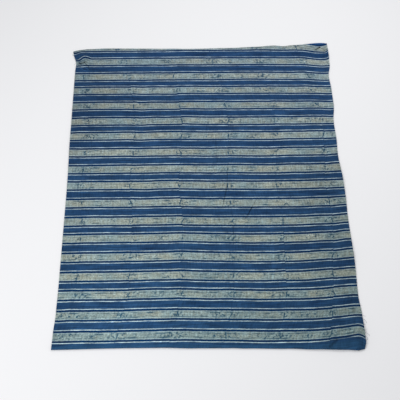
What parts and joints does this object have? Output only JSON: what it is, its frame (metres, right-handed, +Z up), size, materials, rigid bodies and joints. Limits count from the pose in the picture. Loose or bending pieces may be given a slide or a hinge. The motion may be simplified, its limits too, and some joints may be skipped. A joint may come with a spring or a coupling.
{
  "type": "folded block print fabric",
  "caption": "Length of striped indigo block-print cotton, folded once across its length and lying flat, with a rolled fold, a puffed corner and slightly wavy edges.",
  "frame": {"origin": "under the middle of the cloth's outline, on the surface that it lies on", "axes": "+Z up from that surface; +X across the cloth, along the stripes; +Y along the cloth, from the fold towards the cut ends"},
  "size_m": [0.9182, 1.1144, 0.0155],
  "materials": {
    "indigo_cotton": "matt hand-woven cotton, resist printed in pale and indigo stripes"
  },
  "bodies": {
    "root": {"cloth": "indigo_cotton"}
  },
  "joints": []
}
